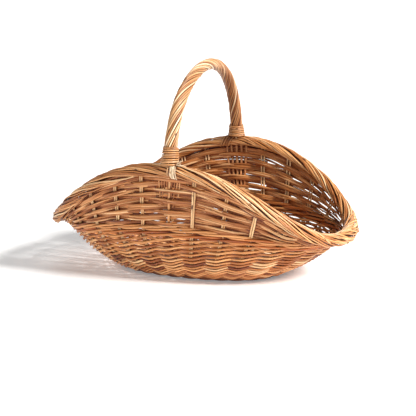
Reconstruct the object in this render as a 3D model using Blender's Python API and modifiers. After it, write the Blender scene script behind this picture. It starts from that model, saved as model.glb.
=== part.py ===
"""Willow gathering basket for eggs: an oval bowl with raised sides and a fixed arched handle.

Lengths are in metres. X is the long axis, Y the short one and +Z is up; the origin is on the
ground under the middle. Round the basket, the angle t is 0 at the +X end and 90 degrees at the
+Y side. Up the wall, v is 0 at the foot, 1 at the waist and 2 on the centreline of the rim.
"""

import math

import bmesh
import bpy
from mathutils import Matrix, Vector

# Outer skin of the wall: half length, half width and height of its four oval lines
FOOT = (0.1200, 0.0830, 0.0)
HIP = (0.1645, 0.1230, 0.0165)
WAIST = (0.2015, 0.1280, 0.0520)
RIM = (0.2155, 0.1405, 0.0615)
WAIST_SIDE_Z = 0.0763
RIM_SIDE_Z = 0.1625
WAIST_RISE_POWER = 2.4
RIM_RISE_POWER = 3.0
FULLNESS = 0.13

# Weave
STAKE_COUNT = 28
STAKE_RADIUS = 0.0026
STAKE_DRIFT = math.radians(6.0)
SIDE_LEAN = math.radians(2.4)
STAKE_STOPS_V = (0.10, 0.20, 0.30, 0.42, 0.56, 0.72, 0.88, 1.0)
LEG_STOPS_V = (*STAKE_STOPS_V, 1.4, 1.85)
BAND_THICKNESS = 0.0025
GAP = 0.0007
BAND_OFFSET = STAKE_RADIUS + GAP + BAND_THICKNESS / 2
SKIN_DEPTH = BAND_OFFSET + BAND_THICKNESS / 2
BOWL_ROWS = 6
BOWL_ROWS_V = (0.14, 0.93)
WALE_V = (0.935, 1.0)
SIDE_ROWS = 4
SIDE_ROW_START = math.radians(36.0)
ROW_CLEARANCE = 0.0007

# Base
BASE_Z = 0.0092
CROSS_STICK_RADIUS = 0.0035
CROSS_STICK_XS = (-0.056, -0.028, 0.0, 0.028, 0.056)
CROSS_STICK_REACH = 0.955
LONG_STICK_RADIUS = 0.0022
LONG_STICK_SPACING = 0.0050
LONG_STICK_HALF = 0.1150
LONG_STICK_SPREAD_FROM = 0.0620
LONG_STICK_FANNING = 3.8
LONG_STICK_BENDS = 3
SLOT_CLEARANCE = 0.0004
BASE_ROUND_SHARES = (0.66, 0.83)
BASE_ROUND_HALF_WIDTH = 0.0045
CROSSING_MARGIN = 0.0015
FOOT_RING_WIDTH = 0.0090
FOOT_RING_HEIGHT = 0.0050

# Rim
RIM_STRAND_RADIUS = 0.0044
RIM_STRAND_ORBIT = 0.0051
RIM_TURNS = 9
RIM_SAMPLES_PER_TURN = 6
RIM_TUBE = RIM_STRAND_RADIUS + RIM_STRAND_ORBIT
RIM_PARTING = 0.0030
RIM_PARTING_REACH = 0.0120
BACK_LEG_T = math.pi / 2 + SIDE_LEAN

# Handle
HANDLE_SPRING_Z = 0.150
HANDLE_TOP_Z = 0.2905
HANDLE_FULLNESS = 0.82
HANDLE_CORE_RADIUS = 0.0062
HANDLE_CORE_FOOT_Z = 0.1712
HANDLE_SHOULDER = 0.0020
HANDLE_STEPS = 28
HANDLE_STRAND_RADIUS = 0.0015
HANDLE_STRANDS = 2
HANDLE_TURNS = 3.5
HANDLE_STRAND_STEPS = 44
BINDING_BOTTOM_Z = 0.1735
BINDING_HEIGHT = 0.0220
BINDING_TOP_RADIUS = 0.0118
BINDING_BOTTOM_RADIUS = 0.0134
BINDING_WALL_RADIUS = 0.0106
BINDING_RIDGES = 4
BINDING_RIDGE_DEPTH = 0.0007
BINDING_SIDES = 20

# Step in t, v or an arch angle, to find a direction from two points near by
NEAR = 0.01

WILLOW = (0.56, 0.33, 0.15)
WILLOW_DARK = (0.42, 0.22, 0.09)
WILLOW_PALE = (0.72, 0.52, 0.30)
CANE = (0.74, 0.56, 0.36)


# ---------------------------------------------------------------- scene and materials

def clear_scene():
    for item in list(bpy.data.objects):
        bpy.data.objects.remove(item)


def new_collection(name):
    made = bpy.data.collections.new(name)
    bpy.context.scene.collection.children.link(made)
    return made


def wood(name, colour, roughness):
    material = bpy.data.materials.new(name)
    material.use_nodes = True
    shader = material.node_tree.nodes["Principled BSDF"]
    shader.inputs["Base Color"].default_value = (*colour, 1.0)
    shader.inputs["Roughness"].default_value = roughness
    shader.inputs["Metallic"].default_value = 0.0
    return material


def place(name, data, collection, colour, roughness=0.6):
    made = bpy.data.objects.new(name, data)
    collection.objects.link(made)
    data.materials.append(wood(name + "_finish", colour, roughness))
    return made


def smooth(mesh):
    mesh.shade_smooth()
    mesh.set_sharp_from_angle(angle=math.radians(40))


# ---------------------------------------------------------------- the basket's surfaces

def outline(t, half_length, half_width):
    c, s = math.cos(t), math.sin(t)
    return half_length * c * (1 + FULLNESS * s * s), half_width * s * (1 + FULLNESS * c * c)


def level(end_z, side_z, power, t):
    return end_z + (side_z - end_z) * abs(math.sin(t)) ** power


def rim_point(t):
    return Vector((*outline(t, *RIM[:2]), level(RIM[2], RIM_SIDE_Z, RIM_RISE_POWER, t)))


def waist_point(t):
    height = level(WAIST[2], WAIST_SIDE_Z, WAIST_RISE_POWER, t)
    return Vector((*outline(t, *WAIST[:2]), height))


def skin_point(t, v):
    if v > 1:
        return waist_point(t).lerp(rim_point(t), v - 1)
    foot = Vector((*outline(t, *FOOT[:2]), FOOT[2]))
    hip = Vector((*outline(t, *HIP[:2]), HIP[2]))
    return foot.lerp(hip, v).lerp(hip.lerp(waist_point(t), v), v)


def skin_normal(t, v):
    round_the_wall = skin_point(t + NEAR, v) - skin_point(t - NEAR, v)
    up_the_wall = skin_point(t, v + NEAR) - skin_point(t, v - NEAR)
    return round_the_wall.cross(up_the_wall).normalized()


def leaning(t, v):
    """The angle a stake that stands at t has reached at v; above the waist they all lean one way."""
    return t + SIDE_LEAN * max(0.0, v - 1.0)


def wall_point(t, v, out=0.0):
    """A point out from the middle of the wall, on the line of a stake that stands at t."""
    depth = SKIN_DEPTH * min(1.0, 2.0 - v)
    here = leaning(t, v)
    return skin_point(here, v) + skin_normal(here, v) * (out - depth)


def top_v(t):
    """How high the wall reaches below the rim's strands."""
    rise = (rim_point(leaning(t, 2.0)) - wall_point(t, 1.0)).length
    return 2.0 - (RIM_TUBE + GAP + STAKE_RADIUS) / rise


def stake_angle(index):
    even = 2 * math.pi * index / STAKE_COUNT
    return even + STAKE_DRIFT * math.sin(2 * even)


def is_handle_leg(index):
    return index % (STAKE_COUNT // 2) == STAKE_COUNT // 4


# ---------------------------------------------------------------- shapes

def rod(name, points, radius, collection, colour, shares=None, sides=1, closed=False):
    """A round rod along points; shares scale its radius point by point."""
    curve = bpy.data.curves.new(name, "CURVE")
    curve.dimensions = "3D"
    curve.bevel_depth = radius
    curve.bevel_resolution = sides
    curve.use_fill_caps = not closed
    spline = curve.splines.new("POLY")
    spline.points.add(len(points) - 1)
    for index, point in enumerate(points):
        spline.points[index].co = (*point, 1.0)
        spline.points[index].radius = shares[index] if shares else 1.0
    spline.use_cyclic_u = closed
    return place(name, curve, collection, colour)


def solidified(name, bm, thickness, collection, colour):
    """A thin sheet given its thickness both ways from the middle."""
    bmesh.ops.recalc_face_normals(bm, faces=bm.faces)
    mesh = bpy.data.meshes.new(name)
    bm.to_mesh(mesh)
    bm.free()
    smooth(mesh)
    made = place(name, mesh, collection, colour)
    solid = made.modifiers.new("Thickness", "SOLIDIFY")
    solid.thickness = thickness
    solid.offset = 0.0
    solid.use_even_offset = True
    return made


def closed_band(name, count, low, high, thickness, collection, colour):
    """A band all round; low and high give its edge points for each of count places."""
    bm = bmesh.new()
    bmesh.ops.create_cone(bm, segments=count, radius1=1.0, radius2=1.0, depth=2.0)
    turns = [[None, None] for _ in range(count)]
    for vert in bm.verts:
        turn = math.atan2(vert.co.x, vert.co.y) % (2 * math.pi)
        place_index = round(turn / (2 * math.pi) * count) % count
        turns[place_index][0 if vert.co.z < 0 else 1] = vert
    for place_index, (lower, upper) in enumerate(turns):
        lower.co = low(place_index)
        upper.co = high(place_index)
    return solidified(name, bm, thickness, collection, colour)


def open_band(name, count, low, high, thickness, collection, colour):
    """A band with two ends; low and high give its edge points for each of count places."""
    bm = bmesh.new()
    bmesh.ops.create_grid(bm, x_segments=count - 1, y_segments=1, size=1.0)
    for vert in bm.verts:
        place_index = round((vert.co.x + 1) / 2 * (count - 1))
        vert.co = high(place_index) if vert.co.y > 0 else low(place_index)
    return solidified(name, bm, thickness, collection, colour)


# ---------------------------------------------------------------- wall

def weave_places(first, last):
    """Angles of the stakes from first to last and the middles between, with how far out to pass."""
    places = []
    for index in range(first, last):
        here, after = stake_angle(index), stake_angle(index + 1)
        places.append((here, 1 if index % 2 else -1))
        places.append(((here + after) / 2, 0))
    return places


def make_stakes(collection):
    number = 0
    for index in range(STAKE_COUNT):
        if is_handle_leg(index):
            continue
        number += 1
        t = stake_angle(index)
        points = [wall_point(t, v) for v in (*STAKE_STOPS_V, top_v(t))]
        rod(f"stake_{number:02d}", points, STAKE_RADIUS, collection, WILLOW)


def make_bowl_rows(collection):
    places = weave_places(0, STAKE_COUNT)
    angles = [t for t, _ in places]
    step = (BOWL_ROWS_V[1] - BOWL_ROWS_V[0]) / BOWL_ROWS
    for row in range(BOWL_ROWS):
        turn = 1 if row % 2 else -1
        low_v = BOWL_ROWS_V[0] + row * step

        def edge(index, v, turn=turn):
            t, pass_out = places[index]
            return wall_point(t, v, turn * pass_out * BAND_OFFSET)

        closed_band(
            f"bowl_row_{row + 1}", len(angles),
            lambda i, v=low_v: edge(i, v) + up_wall(angles[i], v) * ROW_CLEARANCE,
            lambda i, v=low_v + step: edge(i, v) - up_wall(angles[i], v) * ROW_CLEARANCE,
            BAND_THICKNESS, collection, WILLOW,
        )


def up_wall(t, v):
    return (wall_point(t, v + NEAR) - wall_point(t, v - NEAR)).normalized()


def make_waist_wale(collection):
    angles = [t for t, _ in weave_places(0, STAKE_COUNT)]
    closed_band(
        "waist_wale", len(angles),
        lambda i: wall_point(angles[i], WALE_V[0], BAND_OFFSET),
        lambda i: wall_point(angles[i], WALE_V[1], BAND_OFFSET),
        BAND_THICKNESS, collection, WILLOW_DARK,
    )


def side_places(side):
    """Places along one raised side: +1 is the back (+Y) and -1 the front."""
    half = STAKE_COUNT // 2
    first = 0 if side > 0 else half
    start = SIDE_ROW_START + (0 if side > 0 else math.pi)
    finish = start + math.pi - 2 * SIDE_ROW_START
    inner = [p for p in weave_places(first, first + half) if start < p[0] < finish]
    return [(start, 0), *inner, (finish, 0)]


def make_side_rows(collection, side, label):
    places = side_places(side)

    def edge(index, share, turn, inset):
        t, pass_out = places[index]
        low_v, high_v = 1.0, top_v(t)
        v = low_v + (high_v - low_v) * share
        return wall_point(t, v, turn * pass_out * BAND_OFFSET) + up_wall(t, v) * inset

    for row in range(SIDE_ROWS):
        turn = 1 if row % 2 else -1
        low_share, high_share = row / SIDE_ROWS, (row + 1) / SIDE_ROWS
        open_band(
            f"side_row_{label}_{row + 1}", len(places),
            lambda i, s=low_share, k=turn: edge(i, s, k, ROW_CLEARANCE),
            lambda i, s=high_share, k=turn: edge(i, s, k, -ROW_CLEARANCE),
            BAND_THICKNESS, collection, WILLOW,
        )


# ---------------------------------------------------------------- base

def long_stick_y(lane, x):
    spread = max(0.0, abs(x) - LONG_STICK_SPREAD_FROM) / (LONG_STICK_HALF - LONG_STICK_SPREAD_FROM)
    return lane * LONG_STICK_SPACING * (1 + LONG_STICK_FANNING * spread)


def make_long_sticks(collection):
    run = (LONG_STICK_HALF - LONG_STICK_SPREAD_FROM) / LONG_STICK_BENDS
    right = [LONG_STICK_SPREAD_FROM + run * step for step in range(LONG_STICK_BENDS + 1)]
    xs = [-x for x in reversed(right)] + right
    for lane in (-1, 0, 1):
        points = [Vector((x, long_stick_y(lane, x), BASE_Z)) for x in xs]
        rod(f"base_long_stick_{lane + 2}", points, LONG_STICK_RADIUS, collection, WILLOW_DARK)


def stick_end_y(x):
    """Where a cross stick ends, just short of the stakes' feet."""
    return CROSS_STICK_REACH * FOOT[1] * math.sqrt(1 - (x / FOOT[0]) ** 2)


def make_cross_sticks(collection, cutters):
    slot_half_width = LONG_STICK_SPACING + LONG_STICK_RADIUS + SLOT_CLEARANCE
    slot_half_height = LONG_STICK_RADIUS + SLOT_CLEARANCE
    bm = bmesh.new()
    bmesh.ops.create_cube(bm, size=2.0)
    size = (2 * CROSS_STICK_RADIUS, slot_half_width, slot_half_height)
    bmesh.ops.scale(bm, vec=size, verts=bm.verts)
    slot_mesh = bpy.data.meshes.new("long_stick_slot")
    bm.to_mesh(slot_mesh)
    bm.free()
    for number, x in enumerate(CROSS_STICK_XS, 1):
        half = stick_end_y(x)
        bm = bmesh.new()
        bmesh.ops.create_cone(
            bm, segments=10, radius1=CROSS_STICK_RADIUS, radius2=CROSS_STICK_RADIUS,
            depth=2 * half, cap_ends=True,
        )
        bmesh.ops.rotate(bm, verts=bm.verts, matrix=Matrix.Rotation(math.pi / 2, 3, "X"))
        mesh = bpy.data.meshes.new(f"base_cross_stick_{number}")
        bm.to_mesh(mesh)
        bm.free()
        smooth(mesh)
        stick = place(f"base_cross_stick_{number}", mesh, collection, WILLOW_DARK)
        stick.location = (x, 0, BASE_Z)
        slot = bpy.data.objects.new(f"cross_stick_slot_{number}", slot_mesh)
        slot.location = stick.location
        slot.display_type = "WIRE"
        slot.hide_render = True
        cutters.objects.link(slot)
        cut = stick.modifiers.new("Slot", "BOOLEAN")
        cut.operation = "DIFFERENCE"
        cut.object = slot


def angle_at_x(x, half_length, half_width):
    """Angle between 0 and 180 degrees at which an oval line passes x."""
    low, high = 0.0, math.pi
    for _ in range(40):
        middle = (low + high) / 2
        if outline(middle, half_length, half_width)[0] > x:
            low = middle
        else:
            high = middle
    return low


def side_crossings(half_length, half_width):
    """Where a woven round meets the cross sticks on the +Y side: angles it starts and ends level."""
    spans = []
    for x in reversed(CROSS_STICK_XS):
        slant = BASE_ROUND_HALF_WIDTH * abs(math.cos(angle_at_x(x, half_length, half_width)))
        reach = CROSS_STICK_RADIUS + CROSSING_MARGIN + slant
        spans.append(tuple(angle_at_x(x + k * reach, half_length, half_width) for k in (1, -1)))
    return spans


def end_crossings(half_length, half_width):
    """The same where it meets the long sticks, from the lowest to the highest at the +X end."""
    reach = LONG_STICK_RADIUS + CROSSING_MARGIN
    full_width = half_width * (1 + FULLNESS)
    ys = [long_stick_y(lane, half_length) for lane in (-1, 0, 1)]
    return [tuple(math.asin((y + k * reach) / full_width) for k in (-1, 1)) for y in ys]


def base_crossings(half_length, half_width):
    end = end_crossings(half_length, half_width)
    side = side_crossings(half_length, half_width)
    far = [(low + math.pi, high + math.pi) for low, high in end]
    return end + side + far + [(low + math.pi, high + math.pi) for low, high in side]


def make_base_rounds(collection):
    offset = CROSS_STICK_RADIUS + GAP + BAND_THICKNESS / 2
    for number, share in enumerate(BASE_ROUND_SHARES, 1):
        middle = (FOOT[0] * share, FOOT[1] * share)
        places = []
        for index, span in enumerate(base_crossings(*middle)):
            lift = offset if (index + number) % 2 else -offset
            places += [(t, lift) for t in span]

        def edge(index, half_width, middle=middle, places=places):
            t, lift = places[index]
            x, y = outline(t, middle[0] + half_width, middle[1] + half_width)
            return Vector((x, y, BASE_Z + lift))

        closed_band(
            f"base_round_{number}", len(places),
            lambda i: edge(i, -BASE_ROUND_HALF_WIDTH),
            lambda i: edge(i, BASE_ROUND_HALF_WIDTH),
            BAND_THICKNESS, collection, WILLOW_DARK,
        )


def make_foot_ring(collection):
    """The thick first rod round the base, flat underneath where the basket stands."""
    count = STAKE_COUNT * 2
    bpy.ops.mesh.primitive_torus_add(major_segments=count, minor_segments=4)
    ring = bpy.context.object
    ring.name = "foot_ring"
    ring.data.name = "foot_ring"
    for item in list(ring.users_collection):
        item.objects.unlink(ring)
    collection.objects.link(ring)
    low = FOOT[2]
    corners = (
        (0.0, low + FOOT_RING_HEIGHT / 2), (-FOOT_RING_WIDTH / 2, low + FOOT_RING_HEIGHT),
        (-FOOT_RING_WIDTH, low), (0.0, low),
    )
    for vert in ring.data.vertices:
        turn, corner = divmod(vert.index, 4)
        out, z = corners[corner]
        t = 2 * math.pi * turn / count
        vert.co = (*outline(t, FOOT[0] + out, FOOT[1] + out), z)
    bm = bmesh.new()
    bm.from_mesh(ring.data)
    bmesh.ops.recalc_face_normals(bm, faces=bm.faces)
    bm.to_mesh(ring.data)
    bm.free()
    ring.data.materials.append(wood("foot_ring_finish", WILLOW, 0.6))


# ---------------------------------------------------------------- rim

def rim_frame(t):
    """Outward and upward directions square to the rim's line."""
    along = (rim_point(t + NEAR) - rim_point(t - NEAR)).normalized()
    outward = along.cross(Vector((0, 0, 1))).normalized()
    return outward, outward.cross(along)


def rim_orbit(t):
    """Distance of each strand from the rim's line; the strands part round the handle's legs."""
    leg = rim_point(BACK_LEG_T)
    here = rim_point(t)
    distance = min((here - leg).length, (here - Vector((-leg.x, -leg.y, leg.z))).length)
    return RIM_STRAND_ORBIT + RIM_PARTING * math.exp(-((distance / RIM_PARTING_REACH) ** 2))


def make_rim_strands(collection):
    samples = RIM_TURNS * RIM_SAMPLES_PER_TURN * 2
    for number in (1, 2):
        points = []
        for index in range(samples):
            t = 2 * math.pi * index / samples
            phase = RIM_TURNS * (t - BACK_LEG_T) + math.pi * number
            outward, upward = rim_frame(t)
            offset = outward * math.cos(phase) + upward * math.sin(phase)
            points.append(rim_point(t) + offset * rim_orbit(t))
        rod(f"rim_strand_{number}", points, RIM_STRAND_RADIUS, collection, WILLOW, closed=True)


# ---------------------------------------------------------------- handle

def arch_point(angle):
    """The handle's centreline; angle is 0 at the front foot and 180 degrees at the back one."""
    back_foot = rim_point(BACK_LEG_T)
    share = -math.cos(angle)
    height = HANDLE_TOP_Z - HANDLE_SPRING_Z
    z = HANDLE_SPRING_Z + height * math.sin(angle) ** HANDLE_FULLNESS
    return Vector((back_foot.x * share, back_foot.y * share, z))


def arch_angle_at(z):
    share = (z - HANDLE_SPRING_Z) / (HANDLE_TOP_Z - HANDLE_SPRING_Z)
    return math.asin(share ** (1 / HANDLE_FULLNESS))


def leg_points(t):
    return [wall_point(t, v) for v in LEG_STOPS_V] + [rim_point(leaning(t, 2.0))]


def make_handle_core(collection):
    thin = STAKE_RADIUS / HANDLE_CORE_RADIUS
    first = arch_angle_at(HANDLE_CORE_FOOT_Z)
    sweep = math.pi - 2 * first
    arch = [arch_point(first + sweep * i / HANDLE_STEPS) for i in range(HANDLE_STEPS + 1)]
    front = leg_points(-math.pi / 2)
    back = leg_points(math.pi / 2)
    shoulder_z = HANDLE_CORE_FOOT_Z - HANDLE_SHOULDER
    front.append(arch_point(arch_angle_at(shoulder_z)))
    back.append(arch_point(math.pi - arch_angle_at(shoulder_z)))
    points = front + arch + back[::-1]
    shares = [thin] * len(front) + [1.0] * len(arch) + [thin] * len(back)
    rod("handle_core", points, HANDLE_CORE_RADIUS, collection, WILLOW_PALE, shares)


def arch_frame(angle):
    along = (arch_point(angle + NEAR) - arch_point(angle - NEAR)).normalized()
    across = Vector((0, 0, 1)).cross(rim_point(BACK_LEG_T).normalized())
    across = (across - along * across.dot(along)).normalized()
    return along, across, along.cross(across)


def make_handle_strands(collection):
    orbit = HANDLE_CORE_RADIUS + GAP + HANDLE_STRAND_RADIUS
    first = arch_angle_at(BINDING_BOTTOM_Z + HANDLE_SHOULDER)
    for number in range(HANDLE_STRANDS):
        points = []
        for index in range(HANDLE_STRAND_STEPS + 1):
            share = index / HANDLE_STRAND_STEPS
            angle = first + (math.pi - 2 * first) * share
            turn = 2 * math.pi * (HANDLE_TURNS * share + number / HANDLE_STRANDS)
            _, across, outward = arch_frame(angle)
            offset = across * math.cos(turn) + outward * math.sin(turn)
            points.append(arch_point(angle) + offset * orbit)
        rod(f"handle_strand_{number + 1}", points, HANDLE_STRAND_RADIUS, collection, WILLOW_PALE)


def binding_profile():
    """Outer side from top to bottom in ridges, then back up the bore."""
    points = [(BINDING_WALL_RADIUS, BINDING_HEIGHT / 2)]
    steps = 2 * BINDING_RIDGES
    for index in range(steps + 1):
        share = index / steps
        radius = BINDING_TOP_RADIUS + (BINDING_BOTTOM_RADIUS - BINDING_TOP_RADIUS) * share
        radius -= 0.0 if index % 2 else BINDING_RIDGE_DEPTH
        points.append((radius, BINDING_HEIGHT * (0.5 - share)))
    return [*points, (BINDING_WALL_RADIUS, -BINDING_HEIGHT / 2)]


def make_binding(collection, name, angle):
    profile = binding_profile()
    mesh = bpy.data.meshes.new(name)
    bm = bmesh.new()
    verts = [bm.verts.new((r, 0, z)) for r, z in profile]
    for index, vert in enumerate(verts):
        bm.edges.new((vert, verts[(index + 1) % len(verts)]))
    bm.to_mesh(mesh)
    bm.free()
    binding = place(name, mesh, collection, CANE)
    along = arch_frame(angle)[0]
    if along.z < 0:
        along = -along
    binding.location = arch_point(angle)
    binding.rotation_mode = "QUATERNION"
    binding.rotation_quaternion = along.to_track_quat("Z", "Y")
    turned = binding.modifiers.new("Turned", "SCREW")
    turned.axis = "Z"
    turned.steps = BINDING_SIDES
    turned.render_steps = BINDING_SIDES
    turned.use_merge_vertices = True
    turned.merge_threshold = 0.0001
    turned.use_smooth_shade = True


def make_handle(collection):
    make_handle_core(collection)
    make_handle_strands(collection)
    foot = arch_angle_at(BINDING_BOTTOM_Z + BINDING_HEIGHT / 2)
    make_binding(collection, "handle_binding_front", foot)
    make_binding(collection, "handle_binding_back", math.pi - foot)


def main():
    clear_scene()
    basket = new_collection("egg_collection_basket")
    cutters = new_collection("cutters")
    make_foot_ring(basket)
    make_long_sticks(basket)
    make_cross_sticks(basket, cutters)
    make_base_rounds(basket)
    make_stakes(basket)
    make_bowl_rows(basket)
    make_waist_wale(basket)
    make_side_rows(basket, -1, "front")
    make_side_rows(basket, 1, "back")
    make_rim_strands(basket)
    make_handle(basket)


main()
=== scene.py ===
import math

import bpy
import numpy as np
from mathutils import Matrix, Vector


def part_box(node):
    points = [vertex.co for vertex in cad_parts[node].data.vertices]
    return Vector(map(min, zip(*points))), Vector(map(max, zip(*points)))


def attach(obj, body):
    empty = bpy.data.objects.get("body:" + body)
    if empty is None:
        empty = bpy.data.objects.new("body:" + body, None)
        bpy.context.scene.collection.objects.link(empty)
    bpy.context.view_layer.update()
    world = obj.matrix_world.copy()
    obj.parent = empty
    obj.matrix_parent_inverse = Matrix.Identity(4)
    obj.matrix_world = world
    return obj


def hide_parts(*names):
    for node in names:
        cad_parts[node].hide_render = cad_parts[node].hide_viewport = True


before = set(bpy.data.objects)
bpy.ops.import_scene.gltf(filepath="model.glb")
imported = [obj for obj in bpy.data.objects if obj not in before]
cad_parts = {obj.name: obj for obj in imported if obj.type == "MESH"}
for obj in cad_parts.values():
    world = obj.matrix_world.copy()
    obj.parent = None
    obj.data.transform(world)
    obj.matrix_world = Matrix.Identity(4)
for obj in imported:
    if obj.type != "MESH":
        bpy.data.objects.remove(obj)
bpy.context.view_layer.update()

# Looks of the egg collection basket: its willow rods one by one, laid on the surfaces of the CAD
# model. The base sticks are the CAD model's own.
# Lengths are in metres. Round the basket, s counts the stakes: s is 0 at the +X end, 7 at the
# handle's back foot and 21 at its front foot. Up the wall, v is 0 at the foot, 1 at the waist and
# 2 on the centreline of the border.

# The CAD model's outer skin, with its sizes from the frame
STAKES = 28
FRONT_LEG, BACK_LEG = 21, 7
FULLNESS = 0.13
STAKE_DRIFT = math.radians(6.0)
SIDE_LEAN = math.radians(2.4)
FOOT_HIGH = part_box("foot_ring")[1]
WAIST_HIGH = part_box("waist_wale")[1]
HANDLE_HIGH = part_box("handle_core")[1]
FOOT = (FOOT_HIGH.x, FOOT_HIGH.y, 0.0)
HIP = (FOOT[0] + 0.0445, FOOT[1] + 0.0400, 0.0165)
WAIST = (WAIST_HIGH.x, WAIST_HIGH.y, 0.0520)
WAIST_SIDE_Z = 0.0763
WAIST_RISE_POWER = 2.4
RIM = (0.2155, 0.1405, 0.0615)
RIM_SHIFT = -0.0025
RIM_SIDE_Z = 0.1625
RIM_RISE_POWER = 3.0
SKIN_DEPTH = 0.0058

# Metres of rod from one stake to the next, as the rods' wavers and spacings count them
STAKE_PITCH = 0.036
SIDE_PITCH = 0.040

# Bowl and waist
BOWL_PIECES = 6
BOWL_ROWS = 13
BOWL_V = (0.045, 0.925)
WALE_VS = (0.955, 1.025)
WEAVER = 0.00172
WEAVER_LIFT = 0.0027
ROW_DIP = 0.0040
WALE_ROD = 0.0018
WALE_LIFT = 0.0021

# Foot: each course's height and how far it stands out, and the twist of its rods
FOOT_ROD = 0.0018
FOOT_INSET = 0.0045
FOOT_COURSES = ((0.0036, 0.0), (0.0068, 0.0035))
FOOT_SWING, FOOT_LIFT = 0.0028, 0.0017

# Stakes: how far apart the two rods of each are, in rod radii; which stand off their even
# places, and by how much; and which show in one long stretch in front of the bands
STAKE_ROD = 0.00135
STAKE_GAP_FRONT, STAKE_GAP_BACK = 1.75, 2.7
STAKE_SHIFTS = {8: 0.13, 22: -0.15, 23: -0.07, 24: -0.09}
LONG_SHOWING = (22, 24)

# Raised sides. A side's fillers: first and last stake, depth in the wall, drop and radius
SIDE_PIECES = 4
SIDE_BANDS = 9
RODS_PER_BAND = 5
SIDE_ROD = 0.00112
SIDE_START_S = 1.55
SIDE_LOW_V = 1.055
SIDE_SWING = STAKE_ROD + 0.0019
SIDE_TAPER_HEIGHT = 0.075
LEG_ROD = 0.0021
FILLERS = {
    "front": (16.3, 25.7, -0.0021, 0.0, 0.0013),
    "back": (4.9, 11.8, 0.0021, 0.0008, 0.0017),
}

# Border
BORDER_TUBE = 0.0094
BORDER_ROD = 0.00132
BORDER_TWINS = 4
BORDER_LENGTH = (0.215, 0.255)
BORDER_END_SPREAD = 0.30
CORE_STRANDS, CORE_ORBIT, CORE_ROD = 5, 0.0037, 0.0026
CROSSINGS = 7
CROSSING_FIRST_S, CROSSING_STEP_S = -3.0, 0.62

# Handle, its bindings (lowest and highest z) and its ties
HANDLE_TOP_Z = HANDLE_HIGH.z - 0.0044
HANDLE_LEAN = 0.0030
HANDLE_SPRING_Z = 0.150
HANDLE_FULLNESS = 0.82
HANDLE_RODS = 16
HANDLE_ROD = 0.00138
HANDLE_RADIUS = 0.0088
HANDLE_TURNS = 3.1
HANDLE_PITH = 0.0059
FRONT_BINDING = (0.1705, 0.1940)
BACK_BINDING = (0.1715, 0.1885)
BINDING_RADIUS, BINDING_FLARE = 0.0098, 0.0024
BINDING_CANE = 0.00126
FRONT_TIES, BACK_TIES, FRAYED_ENDS = 9, 5, 11
FRONT_TIE_CANE, BACK_TIE_CANE, FRAYED_CANE = 0.00095, 0.0013, 0.0007
FRAY_ROOT = (0.0125, -0.0060, 0.0)
FRAY_AIM = (1.0, -0.35, 0.25)

# Base: its two sets of sticks and the rounds woven round them
BASE_Z = 0.0092
CROSS_STICK_XS = (0.056, 0.028, 0.0, -0.028, -0.056)
LONG_STICK_SPACING = 0.0050
LONG_STICK_SPREAD_FROM, LONG_STICK_SPREAD_RUN = 0.062, 0.053
LONG_STICK_FANNING = 3.8
BASE_ROUNDS = 15
BASE_ROD = 0.00135
BASE_WEAVE_LIFT = 0.0033
FIRST_ROUND = (0.0645, 0.0115)
LAST_ROUND = (FOOT[0] - 0.0135, FOOT[1] - 0.0105)

# How far a rod's tone drifts along it
TONE_DRIFT = 0.10


# ------------------------------------------------------------------ surfaces

def dice(name):
    """A generator of random numbers of its own for each piece."""
    return np.random.default_rng(sum(ord(c) * (i + 7) for i, c in enumerate(name)))


def unit(a):
    return a / np.linalg.norm(a, axis=-1, keepdims=True)


def angle_at(s, v=1.0):
    """The angle round the basket of stake coordinate s; above the waist all stakes lean one way."""
    even = 2 * np.pi * np.asarray(s, float) / STAKES
    return even + STAKE_DRIFT * np.sin(2 * even) + SIDE_LEAN * np.clip(np.asarray(v) - 1, 0, 1)


def oval(t, size, z):
    c, s = np.cos(t), np.sin(t)
    x = size[0] * c * (1 + FULLNESS * s * s)
    y = size[1] * s * (1 + FULLNESS * c * c)
    return np.stack([x, y, z + 0 * t], -1)


def level(t, end_z, side_z, power):
    return end_z + (side_z - end_z) * np.abs(np.sin(t)) ** power


def rim_line(t):
    line = oval(t, RIM, level(t, RIM[2], RIM_SIDE_Z, RIM_RISE_POWER))
    shift = RIM_SHIFT * np.cos(t) ** 2
    return line + np.stack([shift, 0 * t, 0 * t], -1)


def skin(t, v):
    foot, hip = oval(t, FOOT, FOOT[2]), oval(t, HIP, HIP[2])
    waist = oval(t, WAIST, level(t, WAIST[2], WAIST_SIDE_Z, WAIST_RISE_POWER))
    u = np.asarray(v, float)[..., None] + 0 * foot
    bowl = (foot + (hip - foot) * u) * (1 - u) + (hip + (waist - hip) * u) * u
    side = waist + (rim_line(t) - waist) * (u - 1)
    return np.where(u > 1, side, bowl)


def wall(s, v, out=0.0, up=0.0):
    """Points off the middle of the wall by out and up, and the outward normal there."""
    v = np.asarray(v, float) + 0 * np.asarray(s, float)
    t = angle_at(s, v)
    step = 0.01
    round_it = skin(t + step, v) - skin(t - step, v)
    up_it = unit(skin(t, v + step) - skin(t, v - step))
    normal = unit(np.cross(round_it, up_it))
    depth = SKIN_DEPTH * np.clip(2 - v, 0, 1)
    shift = (np.asarray(out) - depth)[..., None] * normal
    return skin(t, v) + shift + (np.asarray(up) + 0 * t)[..., None] * up_it, normal


def wobble(run, rng, size, wave):
    """A smooth random waver along a rod."""
    first, second, third = rng.uniform(0, 2 * np.pi, 3)
    turns = 2 * np.pi * np.asarray(run) / wave
    return size * (np.sin(turns + first) + 0.6 * np.sin(1.73 * turns + second)
                   + 0.35 * np.sin(3.1 * turns + third)) / 1.5


# ------------------------------------------------------------------ rods

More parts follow.
